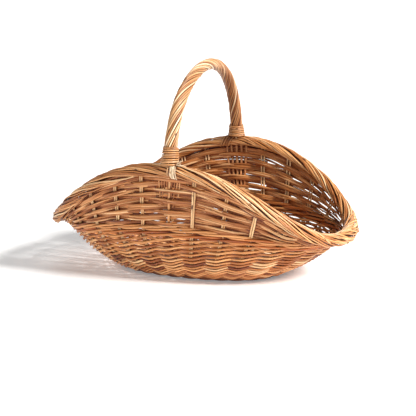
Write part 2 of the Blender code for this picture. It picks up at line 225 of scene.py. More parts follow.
class Rods:
    """Rods gathered into one mesh, with their grain and tone stored on it."""

    def __init__(self):
        self.verts, self.faces, self.grain, self.tone = [], [], [], []
        self.count = 0

    def add(self, line, radius, facing, tone, rng, sides=8, flat=1.0):
        """A rod along line. facing is a direction off the line, and flat thins the rod that way."""
        line = np.asarray(line, float)
        n = len(line)
        radius = np.broadcast_to(np.asarray(radius, float), (n,))
        along = unit(np.gradient(line, axis=0))
        across = unit(np.cross(along, facing))
        outward = np.cross(across, along)
        turn = np.linspace(0, 2 * np.pi, sides, endpoint=False)
        c, s = np.cos(turn)[None, :, None], np.sin(turn)[None, :, None]
        ring = outward[:, None, :] * c * flat + across[:, None, :] * s
        points = line[:, None, :] + ring * radius[:, None, None]
        run = np.concatenate([[0], np.cumsum(np.linalg.norm(np.diff(line, axis=0), axis=1))])
        grain = np.stack([
            radius[:, None] * c[..., 0], radius[:, None] * s[..., 0], run[:, None] + 0 * c[..., 0],
        ], -1)
        self.verts.append(points.reshape(-1, 3))
        self.grain.append((grain + rng.uniform(0, 5, 3)).reshape(-1, 3))
        tone = np.broadcast_to(np.asarray(tone, float), (n,)) + wobble(run, rng, TONE_DRIFT, 0.16)
        self.tone.append(np.repeat(np.clip(tone, 0, 1), sides))
        i, j = np.meshgrid(np.arange(n - 1), np.arange(sides), indexing="ij")
        after = (j + 1) % sides
        base = self.count
        quads = np.stack([
            i * sides + j, (i + 1) * sides + j, (i + 1) * sides + after, i * sides + after,
        ], -1).reshape(-1, 4) + base
        self.faces += quads.tolist()
        self.faces.append([base + k for k in range(sides)])
        self.faces.append([base + (n - 1) * sides + k for k in reversed(range(sides))])
        self.count += n * sides

    def piece(self, name, slot, material, *nodes):
        mesh = bpy.data.meshes.new(name)
        mesh.from_pydata(np.concatenate(self.verts), [], self.faces)
        grain = mesh.attributes.new("grain", "FLOAT_VECTOR", "POINT")
        grain.data.foreach_set("vector", np.concatenate(self.grain).astype(np.float32).ravel())
        tone = mesh.attributes.new("tone", "FLOAT", "POINT")
        tone.data.foreach_set("value", np.concatenate(self.tone).astype(np.float32))
        mesh.shade_smooth()
        mesh.set_sharp_from_angle(angle=math.radians(55))
        mesh.materials.append(material)
        made = bpy.data.objects.new(name, mesh)
        bpy.context.scene.collection.objects.link(made)
        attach(made, "root")
        if nodes:
            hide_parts(*nodes)
        return made


# ------------------------------------------------------------------ materials

def add_node(tree, kind, **values):
    made = tree.nodes.new(kind)
    for key, value in values.items():
        setattr(made, key, value)
    return made


def ramp(tree, source, stops):
    made = add_node(tree, "ShaderNodeValToRGB")
    tree.links.new(source, made.inputs["Fac"])
    band = made.color_ramp
    while len(band.elements) < len(stops):
        band.elements.new(0.5)
    for element, (place, colour) in zip(band.elements, stops):
        element.position = place
        element.color = (*colour, 1.0)
    return made.outputs["Color"]


def noise(tree, vector, scale, detail=2.0, rough=0.5):
    stretched = add_node(tree, "ShaderNodeMapping")
    stretched.inputs["Scale"].default_value = scale
    tree.links.new(vector, stretched.inputs["Vector"])
    made = add_node(tree, "ShaderNodeTexNoise")
    made.inputs["Scale"].default_value = 1.0
    made.inputs["Detail"].default_value = detail
    made.inputs["Roughness"].default_value = rough
    tree.links.new(stretched.outputs["Vector"], made.inputs["Vector"])
    return made.outputs["Fac"]


def blended(tree, kind, amount, first, second):
    made = add_node(tree, "ShaderNodeMix", data_type="RGBA", blend_type=kind)
    made.clamp_factor = True
    if isinstance(amount, float):
        made.inputs["Factor"].default_value = amount
    else:
        tree.links.new(amount, made.inputs["Factor"])
    tree.links.new(first, made.inputs[6])
    tree.links.new(second, made.inputs[7])
    return made.outputs[2]


# Colours that multiply the rod's own: in patches and along the grain, and painted shade in the
# hollows, found by ambient occlusion
PATCHES = [(0.30, (0.70, 0.62, 0.55)), (0.52, (1, 1, 1)), (0.75, (1.16, 1.15, 1.1))]
STREAKS = [(0.28, (0.62, 0.52, 0.44)), (0.5, (1, 1, 1)), (0.8, (1.12, 1.1, 1.05))]
CREVICE_SHADE_STOPS = [(0.08, (0.10, 0.02, 0.002)), (0.42, (0.56, 0.33, 0.16)), (0.8, (1, 1, 1))]
KNOTS = [(0.70, (0, 0, 0)), (0.76, (1, 1, 1))]
KNOT_BROWN = (0.16, 0.06, 0.02, 1)
CREVICE_SHADE_REACH = 0.007
GRAIN_BUMP, GRAIN_BUMP_HEIGHT = 0.35, 0.0003


def willow(name, stops, roughness=0.46, from_mesh=True, crevice_shade=1.0):
    """Peeled willow. stops give its colours from the darkest rod to the palest; the last argument sets
    how strongly painted shade darkens the rods in their hollows.
    """
    material = bpy.data.materials.new(name)
    material.use_nodes = True
    tree = material.node_tree
    shader = tree.nodes["Principled BSDF"]
    if from_mesh:
        place = add_node(tree, "ShaderNodeAttribute", attribute_name="grain").outputs["Vector"]
        tone = add_node(tree, "ShaderNodeAttribute", attribute_name="tone").outputs["Fac"]
    else:
        spot = add_node(tree, "ShaderNodeTexCoord").outputs["Object"]
        turned = add_node(tree, "ShaderNodeMapping")
        turned.inputs["Rotation"].default_value = (math.pi / 2, 0, 0)
        tree.links.new(spot, turned.inputs["Vector"])
        place = turned.outputs["Vector"]
        tone = noise(tree, place, (9.0, 9.0, 5.0), 1.0)
    colour = ramp(tree, tone, stops)
    patches = noise(tree, place, (60.0, 60.0, 26.0), 3.0)
    patchy = ramp(tree, patches, PATCHES)
    colour = blended(tree, "MULTIPLY", 0.75, colour, patchy)
    streaks = noise(tree, place, (900.0, 900.0, 22.0), 3.0, 0.6)
    streaky = ramp(tree, streaks, STREAKS)
    colour = blended(tree, "MULTIPLY", 0.6, colour, streaky)
    spots = noise(tree, place, (170.0, 170.0, 75.0), 1.0)
    knots = ramp(tree, spots, KNOTS)
    brown = add_node(tree, "ShaderNodeRGB")
    brown.outputs[0].default_value = KNOT_BROWN
    colour = blended(tree, "MIX", knots, colour, brown.outputs[0])
    # Painted shade: ambient occlusion darkens the colour in the hollows and crevices between rods
    crevice_occlusion = add_node(tree, "ShaderNodeAmbientOcclusion", samples=8)
    crevice_occlusion.inputs["Distance"].default_value = CREVICE_SHADE_REACH
    shade = ramp(tree, crevice_occlusion.outputs["AO"], CREVICE_SHADE_STOPS)
    colour = blended(tree, "MULTIPLY", crevice_shade, colour, shade)
    tree.links.new(colour, shader.inputs["Base Color"])
    gloss = add_node(tree, "ShaderNodeMapRange")
    gloss.inputs["To Min"].default_value = roughness - 0.10
    gloss.inputs["To Max"].default_value = roughness + 0.14
    tree.links.new(streaks, gloss.inputs["Value"])
    tree.links.new(gloss.outputs["Result"], shader.inputs["Roughness"])
    bump = add_node(tree, "ShaderNodeBump")
    bump.inputs["Strength"].default_value = GRAIN_BUMP
    bump.inputs["Distance"].default_value = GRAIN_BUMP_HEIGHT
    tree.links.new(streaks, bump.inputs["Height"])
    tree.links.new(bump.outputs["Normal"], shader.inputs["Normal"])
    shader.inputs["IOR"].default_value = 1.5
    shader.inputs["Coat Weight"].default_value = 0.15
    shader.inputs["Coat Roughness"].default_value = 0.28
    return material


# The willow's colours in each part of the basket, from its darkest rods to its palest
WALL_STOPS = [
    (0.0, (0.18, 0.036, 0.004)), (0.25, (0.37, 0.112, 0.022)), (0.55, (0.53, 0.200, 0.056)),
    (0.8, (0.71, 0.340, 0.128)), (1.0, (0.88, 0.53, 0.26)),
]
# The bowl's willow is a paler copy of the wall's: painted light for the bowl's brighter lit face
BOWL_LIT_STOPS = [
    (0.0, (0.23, 0.050, 0.006)), (0.25, (0.46, 0.145, 0.030)), (0.55, (0.66, 0.265, 0.078)),
    (0.8, (0.84, 0.430, 0.170)), (1.0, (0.93, 0.62, 0.33)),
]
STAKE_STOPS = [
    (0.0, (0.45, 0.16, 0.04)), (0.5, (0.76, 0.38, 0.15)), (1.0, (0.92, 0.62, 0.33)),
]
WAIST_STOPS = [
    (0.0, (0.34, 0.078, 0.008)), (0.3, (0.50, 0.130, 0.020)), (0.6, (0.56, 0.190, 0.045)),
    (1.0, (0.76, 0.350, 0.125)),
]
RIM_STOPS = [
    (0.0, (0.28, 0.075, 0.013)), (0.4, (0.52, 0.200, 0.055)), (0.75, (0.76, 0.39, 0.155)),
    (1.0, (0.92, 0.64, 0.36)),
]
HANDLE_STOPS = [
    (0.0, (0.25, 0.074, 0.014)), (0.35, (0.45, 0.192, 0.062)), (0.7, (0.64, 0.360, 0.165)),
    (1.0, (0.95, 0.75, 0.50)),
]
CANE_STOPS = [
    (0.0, (0.31, 0.100, 0.022)), (0.5, (0.54, 0.250, 0.088)), (1.0, (0.93, 0.78, 0.55)),
]
# The base and foot are a darker copy of the willow: painted shade for the low parts under the bowl
BASE_SHADED_STOPS = [
    (0.0, (0.13, 0.035, 0.008)), (0.5, (0.30, 0.100, 0.026)), (1.0, (0.52, 0.220, 0.070)),
]


# ------------------------------------------------------------------ the bowl

def twined_row(rods, rng, row_v, thick):
    """Two rods that twist round each other between the stakes, joined on where rods run out."""
    reach = STAKE_ROD + thick
    lean = rng.uniform(0.85, 1.1)
    for weaver in (0, 1):
        start = weaver + rng.integers(0, 14) * 2 - 1.0
        end = start + STAKES + 0.7
        here = start
        while here < end - 0.5:
            length = 2 * rng.integers(5, 9) + 0.0
            last = min(here + length, end)
            s = np.arange(here - 0.35, last + 0.35, 0.1)
            phase = np.pi * (s - start + 1.0)
            run = s * STAKE_PITCH
            share = (s - s[0]) / (s[-1] - s[0])
            radius = thick * (1.10 - 0.22 * share) * (1 + wobble(run, rng, 0.035, 0.05))
            press = 0.5 + 0.5 * np.abs(np.cos(phase))
            swing = np.arcsin(0.96 * np.cos(phase)) * 2 / np.pi
            out = reach * swing * (1.05 + 0.1 * press) + wobble(run, rng, 0.0003, 0.08)
            dip = ROW_DIP * (1 - row_v) ** 1.5 * (np.abs(swing) - 0.5)
            up = lean * WEAVER_LIFT * np.sin(phase) + wobble(run, rng, 0.0005, 0.22) - dip
            line, normal = wall(s, row_v, out, up)
            tone = np.clip(rng.normal(0.55, 0.26), 0.0, 1.0)
            rods.add(line, radius, normal, tone, rng)
            here = last


def make_bowl(material):
    step = (BOWL_V[1] - BOWL_V[0]) / BOWL_ROWS
    rows = [[] for _ in range(BOWL_PIECES)]
    for row in range(BOWL_ROWS):
        rows[row * BOWL_PIECES // BOWL_ROWS].append(BOWL_V[0] + step * (row + 0.5))
    for index, row_vs in enumerate(rows):
        name = f"bowl_weave_{index + 1}"
        rng = dice(name)
        rods = Rods()
        for row_v in row_vs:
            twined_row(rods, rng, row_v, WEAVER * rng.uniform(0.94, 1.08))
        rods.piece(name, "willow_bowl", material, f"bowl_row_{index + 1}")


def make_waist(material):
    """Three rods at a time, each in front of two stakes and behind the third, in two rounds."""
    name = "waist_rods"
    rng = dice(name)
    rods = Rods()
    for wale_v in WALE_VS:
        for strand in range(3):
            here = strand + rng.uniform(0, 3)
            start = here
            while here < start + STAKES:
                last = here + 3 * rng.integers(3, 5)
                s = np.arange(here - 0.2, last + 0.4, 0.1)
                phase = 2 * np.pi * (s - strand) / 3
                run = s * SIDE_PITCH
                out = np.clip(1.5 * np.cos(phase) + 0.55, -1, 1)
                out = (STAKE_ROD + WALE_ROD) * np.sin(out * np.pi / 2)
                up = WALE_LIFT * np.sin(phase) + wobble(run, rng, 0.0004, 0.3)
                radius = WALE_ROD * (1 + wobble(run, rng, 0.06, 0.2))
                line, normal = wall(s, wale_v, out, up)
                rods.add(line, radius, normal, np.clip(rng.normal(0.5, 0.3), 0, 1), rng)
                here = last
    rods.piece(name, "willow_waist", material, "waist_wale")


def make_foot(material):
    """The first rounds, twisted on the ground round the feet of the stakes."""
    name = "foot_rods"
    rng = dice(name)
    rods = Rods()
    ring = (FOOT[0] - FOOT_INSET, FOOT[1] - FOOT_INSET)
    for course, (rise, size) in enumerate(FOOT_COURSES):
        for strand in range(3):
            s = np.arange(strand, strand + STAKES + 0.5, 0.08)
            t = angle_at(s)
            phase = 2 * np.pi * (s - strand + course) / 3
            line = oval(t, (ring[0] + size, ring[1] + size), rise)
            outward = unit(line * (1, 1, 0))
            swing = FOOT_SWING * np.cos(phase)
            line = line + outward * swing[:, None]
            line[:, 2] += FOOT_LIFT * np.sin(phase)
            radius = FOOT_ROD * (1 + wobble(s, rng, 0.05, 7))
            rods.add(line, radius, outward, rng.uniform(0.2, 0.7), rng)
    rods.piece(name, "willow_base", material, "foot_ring")


# ------------------------------------------------------------------ stakes

def border_gap(s):
    """How far up the wall reaches, as v, below the border."""
    rise = np.linalg.norm(rim_line(angle_at(s, 2.0)) - wall(s, 1.0)[0], axis=-1)
    return 2 - 0.55 * BORDER_TUBE / rise


def stake_rod(s, v):
    """The middle of a stake's rod: along under the base, round the foot and up the wall."""
    line, normal = wall(s, v)
    t = angle_at(s[:1])
    inner = [oval(t, (FOOT[0] * k, FOOT[1] * k), BASE_Z + 0.0028)[0] for k in (0.80, 0.86, 0.92)]
    first_normal = np.array([0, 0, -1.0])
    facing = np.concatenate([np.tile(first_normal, (3, 1)), normal])
    return np.concatenate([np.array(inner), line]), facing


def make_stakes(material):
    number = 0
    for index in range(STAKES):
        if index in (FRONT_LEG, BACK_LEG):
            continue
        number += 1
        name = f"stake_rods_{number:02d}"
        rng = dice(name)
        rods = Rods()
        top = float(border_gap(np.array([float(index)]))[0])
        apart = STAKE_GAP_FRONT if index > STAKES // 2 else STAKE_GAP_BACK
        for side in (-0.5, 0.5):
            v = np.concatenate([np.linspace(0.10, 1.0, 22), np.linspace(1.04, top, 16)])
            spread = side * apart * STAKE_ROD / STAKE_PITCH
            s = index + STAKE_SHIFTS.get(index, 0.0) + spread + wobble(v, rng, 0.006, 1.2)
            line, facing = stake_rod(s, v)
            radius = STAKE_ROD * np.linspace(1.08, 0.92, len(line))
            rods.add(line, radius, facing, np.clip(rng.normal(0.84, 0.12), 0, 1), rng)
        rods.piece(name, "willow_stakes", material, f"stake_{number:02d}")


# ------------------------------------------------------------------ raised sides

def passes(band, stake):
    """1 where a band runs outside a stake, -1 where it runs inside."""
    if stake in LONG_SHOWING and band < SIDE_BANDS - 2:
        return -1.0
    return 1.0 if (band + stake) % 2 else -1.0


def band_swing(band, s):
    below = np.floor(s).astype(int)
    share = s - below
    share = share * share * (3 - 2 * share)
    low = np.array([passes(band, k) for k in below])
    high = np.array([passes(band, k + 1) for k in below])
    return low + (high - low) * share


def fullness(label, s):
    """How thick the rods of a side are at s: the back is more open towards the +X end."""
    if label == "front":
        return 1.28 + 0 * s
    return 1.44 - 0.34 * np.clip((6.0 - s) / 3.5, 0, 1)


def band_v(s, share):
    """How far up the wall a rod lies at s, for its share of the raised side's height."""
    return SIDE_LOW_V + (border_gap(s) - 0.02 - SIDE_LOW_V) * share


def add_filler(rods, rng, label, share):
    """A dark rod packed in behind two bands: inside the front's stakes, outside the back's. Its dark
    tone is painted shade in the gaps between the bands.
    """
    low, high, depth, drop, thick = FILLERS[label]
    s = np.linspace(low + rng.uniform(-0.6, 1.2), high - rng.uniform(-0.6, 1.2), 110)
    line, normal = wall(s, band_v(s, share), wobble(s, rng, 0.0003, 2.0) + depth, -drop)
    rods.add(line, thick, normal, rng.uniform(0.05, 0.35), rng)


def make_side(label, first_stake, material):
    """One raised side: bands of rods that taper towards the tips, where most rods have ended."""
    total = SIDE_BANDS * RODS_PER_BAND
    pieces = [Rods() for _ in range(SIDE_PIECES)]
    rng = dice("side_" + label)
    half = STAKES // 2
    centre = first_stake + half / 2
    for number in range(total):
        band, place = divmod(number, RODS_PER_BAND)
        share = (band + 0.5 + 0.86 * ((place + 0.5) / RODS_PER_BAND - 0.5)) / SIDE_BANDS
        rank = (number * 0.618) % 1.0
        reach = half / 2 - SIDE_START_S - 3.6 * rank ** 1.4
        left = centre - reach * rng.uniform(0.97, 1.03)
        right = centre + reach * rng.uniform(0.97, 1.03)
        for a, b in ((left, centre + rng.uniform(-2, 2)), (right, centre + rng.uniform(-2, 2))):
            s = np.linspace(a, b, int(abs(b - a) / 0.09) + 2)
            run = s * SIDE_PITCH
            v = band_v(s, share)
            height = np.linalg.norm(rim_line(angle_at(s, 2.0)) - wall(s, 1.0)[0], axis=-1)
            crowd = np.clip(height / SIDE_TAPER_HEIGHT, 0.35, 1)
            radius = SIDE_ROD * (0.58 + 0.42 * crowd) * rng.uniform(0.85, 1.18)
            radius = radius * (1 + wobble(run, rng, 0.05, 0.11)) * fullness(label, s)
            out = SIDE_SWING * band_swing(band, s) + wobble(run, rng, 0.0006, 0.09)
            up = wobble(run, rng, 0.0005 if label == "front" else 0.0010, 0.13)
            line, normal = wall(s, v, out, up)
            tone = np.clip(rng.normal(0.58, 0.25), 0.0, 1.0)
            pieces[min(SIDE_PIECES - 1, int(share * SIDE_PIECES))].add(line, radius, normal, tone, rng)
    for band in range(1, SIDE_BANDS + 1):
        piece = min(SIDE_PIECES - 1, band * SIDE_PIECES // SIDE_BANDS)
        add_filler(pieces[piece], rng, label, band / SIDE_BANDS)
    for index, rods in enumerate(pieces):
        rods.piece(f"side_{label}_weave_{index + 1}", "willow_sides", material,
                   f"side_row_{label}_{index + 1}")


def make_leg_fan(label, leg, count, pitch, thick, reach, material):
    """The rods beside a leg of the handle, worked in under the border; reach is their lowest v."""
    name = f"leg_rods_{label}"
    rng = dice(name)
    rods = Rods()
    middle = (count - 1) / 2
    top = float(border_gap(np.array([float(leg)]))[0])
    for index in range(count):
        from_middle = index - middle
        bottom = rng.uniform(*reach)
        v = np.linspace(top, bottom, 30)
        squeeze = 1 - 0.35 * (top - v) / (top - 1)
        s = leg + from_middle * pitch * squeeze / STAKE_PITCH + wobble(v, rng, 0.01, 0.8)
        line, normal = wall(s, v, -0.0002 + wobble(v, rng, 0.0002, 0.6))
        radius = thick * rng.uniform(0.85, 1.1)
        rods.add(line, radius, normal, np.clip(rng.normal(0.6, 0.15), 0, 1), rng)
    v = np.linspace(top, 1.0, 40)
    line, normal = wall(leg + wobble(v, rng, 0.01, 0.8), v)
    rods.add(line, LEG_ROD, normal, 0.75, rng)
    rods.piece(name, "willow_handle", material)


# ------------------------------------------------------------------ border

def rim_frame(t):
    along = unit(rim_line(t + 0.01) - rim_line(t - 0.01))
    outward = unit(np.cross(along, np.array([0, 0, 1.0])))
    return outward, np.cross(outward, along)


def round_rim(t, turn, orbit):
    """Points round the rim's line, which is wider at the low ends, and the way each one faces."""
    outward, upward = rim_frame(t)
    spread = 1 + BORDER_END_SPREAD * np.abs(np.cos(t)) ** 5
    facing = outward * np.cos(turn)[:, None] + upward * np.sin(turn)[:, None]
    offset = outward * (spread * np.cos(turn))[:, None] + upward * np.sin(turn)[:, None]
    inset = outward * (BORDER_TUBE * (1 - spread) * 0.6)[:, None]
    return rim_line(t) + inset + offset * np.asarray(orbit)[:, None], facing


def add_crossing(rods, rng, start):
    """A rod that crosses steeply over the others at a low end of the border."""
    share = np.linspace(0, 1, 40)
    s = start + rng.uniform(1.7, 2.4) * share
    turn = math.radians(190) - math.radians(250) * share
    thick = BORDER_ROD * rng.uniform(0.9, 1.15)
    orbit = BORDER_TUBE * (0.30 + 0.66 * np.sin(np.pi * share) ** 0.5)
    line, facing = round_rim(angle_at(s, 2.0), turn, orbit)
    rods.add(line, thick, facing, np.clip(rng.normal(0.7, 0.2), 0.1, 1), rng)


def border_run():
    """Stake coordinates round the border, and how far along it each one is."""
    s = np.linspace(-STAKES, 2 * STAKES, 3000)
    line = rim_line(angle_at(s, 2.0))
    return s, np.concatenate([[0], np.cumsum(np.linalg.norm(np.diff(line, axis=0), axis=1))])


def make_border(material):
    """Each stake's rods come up inside, roll over the top and run on along the outside."""
    pieces = [Rods(), Rods()]
    rng = dice("border")
    places, runs = border_run()
    for index in range(STAKES):
        for twin in range(BORDER_TWINS):
            rods = pieces[(index + twin) % 2]
            start = index + 0.22 * twin + rng.uniform(-0.06, 0.06)
            first = np.interp(start, places, runs)
            share = np.linspace(0, 1, 70)
            s = np.interp(first + rng.uniform(*BORDER_LENGTH) * share, runs, places)
            turn = math.radians(225) - math.radians(315) * share ** 0.92
            turn = turn + wobble(share, rng, 0.13, 0.5)
            thick = BORDER_ROD * rng.uniform(0.78, 1.2) * (1.12 - 0.35 * share)
            ease = np.clip(np.minimum(share, 1 - share) / 0.12, 0, 1)
            orbit = (BORDER_TUBE - thick) * (0.55 + 0.45 * ease) + wobble(s, rng, 0.0008, 2.2) * ease
            line, facing = round_rim(angle_at(s, 2.0), turn, orbit)
            rods.add(line, thick, facing, np.clip(rng.normal(0.6, 0.26), 0.0, 1), rng)
    for number in range(CROSSINGS):
        add_crossing(pieces[number % 2], rng, CROSSING_STEP_S * number + CROSSING_FIRST_S)
    for index, rods in enumerate(pieces):
        rods.piece(f"border_rods_{index + 1}", "willow_rim", material, f"rim_strand_{index + 1}")
    core = Rods()
    for strand in range(CORE_STRANDS):
        s = np.linspace(0, STAKES + 0.1, 500)
        turn = 2 * np.pi * strand / CORE_STRANDS + wobble(s, rng, 0.5, 6)
        line, facing = round_rim(angle_at(s, 2.0), turn, CORE_ORBIT + 0 * s)
        core.add(line, CORE_ROD, facing, rng.uniform(0.0, 0.2), rng)
    core.piece("border_core", "willow_rim", material)


# ------------------------------------------------------------------ handle

def arch(angle):
    """The handle's centreline, with its direction and the direction across it."""
    foot = rim_line(np.array([np.pi / 2 + SIDE_LEAN]))[0]
    share = -np.cos(angle)
    rise = np.clip(np.sin(angle), 0, 1) ** HANDLE_FULLNESS
    z = HANDLE_SPRING_Z + (HANDLE_TOP_Z - HANDLE_SPRING_Z) * rise
    lean = HANDLE_LEAN * np.sin(angle) ** 2
    return np.stack([foot[0] * share + lean, foot[1] * share + lean, z], -1)


def arch_frame(angle):
    along = unit(arch(angle + 0.004) - arch(angle - 0.004))
    foot = rim_line(np.array([np.pi / 2 + SIDE_LEAN]))[0]
    flat_across = np.cross([0, 0, 1.0], unit(foot))
    across = unit(flat_across - along * (along @ flat_across)[:, None])
    return along, across, np.cross(along, across)


def arch_angle(z):
    """The angle along the arch at which the handle's front half is at height z."""
    share = (z - HANDLE_SPRING_Z) / (HANDLE_TOP_Z - HANDLE_SPRING_Z)
    return math.asin(share ** (1 / HANDLE_FULLNESS))


def even_angles(first, last, count):
    """Angles along the arch at even steps of length."""
    fine = np.linspace(first, last, 600)
    line = arch(fine)
    run = np.concatenate([[0], np.cumsum(np.linalg.norm(np.diff(line, axis=0), axis=1))])
    return np.interp(np.linspace(0, run[-1], count), run, fine)


def make_handle(material):
    name = "handle_rods"
    rng = dice(name)
    rods = Rods()
    first = arch_angle(FRONT_BINDING[0] + 0.003)
    angle = even_angles(first, np.pi - first, 230)
    share = np.linspace(0, 1, len(angle))
    centre = arch(angle)
    _, across, outward = arch_frame(angle)
    orbit = HANDLE_RADIUS - HANDLE_ROD
    swell = 1.05 - 0.13 * np.sin(np.pi * share) ** 2
    # Painted shade: the rods' tone drops along the handle's back half, for the back leg's shaded face
    shade = 0.30 * np.clip((share - 0.55) / 0.2, 0, 1)
    for number in range(HANDLE_RODS):
        eased = share - 0.035 * np.sin(2 * np.pi * share) / np.pi
        turn = 2 * np.pi * (HANDLE_TURNS * eased + number / HANDLE_RODS)
        turn = turn + wobble(share, rng, 0.07, 0.33)
        offset = across * np.cos(turn)[:, None] + outward * np.sin(turn)[:, None]
        ride = orbit * swell + wobble(share, rng, 0.00025, 0.2)
        thick = HANDLE_ROD * rng.uniform(0.78, 1.10) * (1 + wobble(share, rng, 0.04, 0.13))
        line = centre + offset * ride[:, None]
        rods.add(line, thick, offset, rng.normal(0.70, 0.27) - shade, rng)
    # The pith takes the darkest tone: painted shade that shows in the gaps between the rods
    rods.add(centre, HANDLE_PITH * swell, outward, 0.0, rng, sides=14)
    rods.piece(name, "willow_handle", material, "handle_core", "handle_strand_1", "handle_strand_2")


def make_binding(label, heights, turns, at_back, material):
    """Turns of split cane round a foot of the handle, wider at the bottom."""
    name = f"binding_cane_{label}"
    rng = dice(name)
    rods = Rods()
    low, high = arch_angle(heights[0]), arch_angle(heights[1])
    if at_back:
        low, high = np.pi - low, np.pi - high
    share = np.linspace(0, 1, 260)
    angle = low + (high - low) * share
    centre = arch(angle)
    _, across, outward = arch_frame(angle)
    turn = 2 * np.pi * turns * share
    offset = across * np.cos(turn)[:, None] + outward * np.sin(turn)[:, None]
    radius = BINDING_RADIUS + BINDING_FLARE * (1 - share ** 0.8)
    line = centre + offset * (radius + wobble(share, rng, 0.0003, 0.11))[:, None]
    line[:, 2] += wobble(share, rng, 0.0003, 0.21)
    rods.add(line, BINDING_CANE, offset, 0.5, rng, sides=10, flat=0.8)
    rods.piece(name, "cane_binding", material, f"handle_binding_{label}")


def make_front_ties(material):
    """Split cane that ties the binding down over the border in front, and its loose end."""
    name = "front_ties"
    rng = dice(name)
    rods = Rods()
    leg = angle_at(np.array([float(FRONT_LEG)]), 2.0)
    for number in range(FRONT_TIES):
        share = np.linspace(0, 1, 26)
        t = leg + 0.004 + number * 0.0052 + 0.014 * share * rng.uniform(-0.5, 1.4)
        turn = np.radians(100) - np.radians(rng.uniform(130, 165)) * share
        orbit = BORDER_TUBE + 0.0011 + 0.0004 * np.sin(np.pi * share)
        orbit = orbit + wobble(share, rng, 0.0005, 0.6)
        line, facing = round_rim(t, turn, orbit)
        radius = FRONT_TIE_CANE * rng.uniform(0.8, 1.2)
        rods.add(line, radius, facing, rng.uniform(0.55, 1), rng, flat=0.6)
    root = arch(np.array([arch_angle(FRONT_BINDING[0] + 0.001)]))[0] + np.array(FRAY_ROOT)
    for number in range(FRAYED_ENDS):
        share = np.linspace(0, 1, 14)
        aim = unit(np.array(FRAY_AIM) + rng.uniform(-0.6, 0.6, 3))
        line = root + np.outer(share, aim) * rng.uniform(0.006, 0.014)
        line[:, 2] += 0.003 * share ** 2 * rng.uniform(-1, 1)
        radius = FRAYED_CANE * (1.1 - 0.6 * share)
        rods.add(line, radius, np.array([0, 0, 1.0]), rng.uniform(0.9, 1), rng, sides=6)
    rods.piece(name, "cane_binding", material)


def make_back_ties(material):
    """Rods that tie the handle's back foot down over the border: the last one is pale."""
    name = "back_ties"
    rng = dice(name)
    rods = Rods()
    leg = angle_at(np.array([float(BACK_LEG)]), 2.0)
    for number in range(BACK_TIES):
        share = np.linspace(0, 1, 24)
        pale = number == BACK_TIES - 1
        start = -0.012 if pale else -0.012 + 0.018 * number
        t = leg + start + (0.0 if pale else 0.055) * share
        turn = np.radians(80) + np.radians(60 if pale else 125) * share
        orbit = BORDER_TUBE + 0.0010 + wobble(share, rng, 0.0003, 0.6)
        line, facing = round_rim(t, turn, orbit)
        tone = 1.0 if pale else rng.uniform(0.0, 0.4)
        rods.add(line, BACK_TIE_CANE * rng.uniform(0.85, 1.15), facing, tone, rng, flat=0.7)
    rods.piece(name, "cane_binding", material)


# ------------------------------------------------------------------ base

def stick_x_angles(size, power):
    """Angles at which a base round meets the cross sticks and the long sticks."""
    found = []
    for x in CROSS_STICK_XS:
        c = math.copysign(min(1.0, abs(x) / size[0]) ** (power / 2), x)
        found.append(math.acos(c))
    spread = max(0.0, size[0] - LONG_STICK_SPREAD_FROM) / LONG_STICK_SPREAD_RUN
    end = []
    for lane in (-1, 0, 1):
        y = lane * LONG_STICK_SPACING * (1 + LONG_STICK_FANNING * spread)
        end.append(math.copysign(min(0.98, abs(y) / size[1]) ** (power / 2), y))
    end = [math.asin(e) for e in end]
    angles = end + found + [math.pi + e for e in end] + [math.pi + e for e in found]
    return np.array(angles)


def base_round(rods, rng, size, power, thick):
    """Two rods twined round the sticks of the base."""
    places = stick_x_angles(size, power)
    count = len(places)
    known = np.concatenate([places - 2 * np.pi, places, places + 2 * np.pi])
    for weaver in (0, 1):
        s = np.linspace(0, count + 0.3, 330)
        t = np.interp(s, np.arange(-count, 2 * count), known)
        phase = np.pi * (s + weaver)
        c, sn = np.cos(t), np.sin(t)
        x = size[0] * np.sign(c) * np.abs(c) ** (2 / power)
        y = size[1] * np.sign(sn) * np.abs(sn) ** (2 / power)
        flat = np.stack([x, y, 0 * x], -1)
        outward = unit(flat * (1 / size[0] ** 2, 1 / size[1] ** 2, 0) + 1e-9)
        line = flat + outward * (0.0013 * np.sin(phase))[:, None]
        lift = (BASE_WEAVE_LIFT + thick * 0.75) * np.cos(phase)
        line[:, 2] = BASE_Z + lift + wobble(s, rng, 0.0001, 5)
        up = np.tile([0, 0, 1.0], (len(s), 1))
        rods.add(line, thick, up, np.clip(rng.normal(0.5, 0.2), 0, 1), rng)


def make_base(material, stick_material):
    """The rounds of the base, from a long narrow one to the oval by the stakes' feet."""
    pieces = [Rods(), Rods()]
    for number in range(BASE_ROUNDS):
        share = number / (BASE_ROUNDS - 1)
        size = [first + (last - first) * share for first, last in zip(FIRST_ROUND, LAST_ROUND)]
        power = 4.5 - 2.2 * share ** 0.7
        rng = dice(f"base_round_{number}")
        base_round(pieces[0 if share < 0.5 else 1], rng, size, power, BASE_ROD)
    for index, rods in enumerate(pieces):
        rods.piece(f"base_weave_{index + 1}", "willow_base", material, f"base_round_{index + 1}")
    for name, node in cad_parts.items():
        if name.startswith(("base_cross_stick", "base_long_stick")):
            node.data.materials.clear()
            node.data.materials.append(stick_material)


# ------------------------------------------------------------------ stage, light and camera

FLOOR_REACH, FLOOR_Z = 60.0, -0.0006
FLOOR_WHITE, FLOOR_GLOW = (0.93, 0.93, 0.93), 0.22
HORIZON_TOP, HORIZON_FADE = 0.12, 0.03
HORIZON_LIGHT, DOME_LIGHT = 0.92, 0.11
DOME_COLOUR = (1.0, 0.985, 0.965, 1)
WARM_WHITE = (1, 0.985, 0.96)

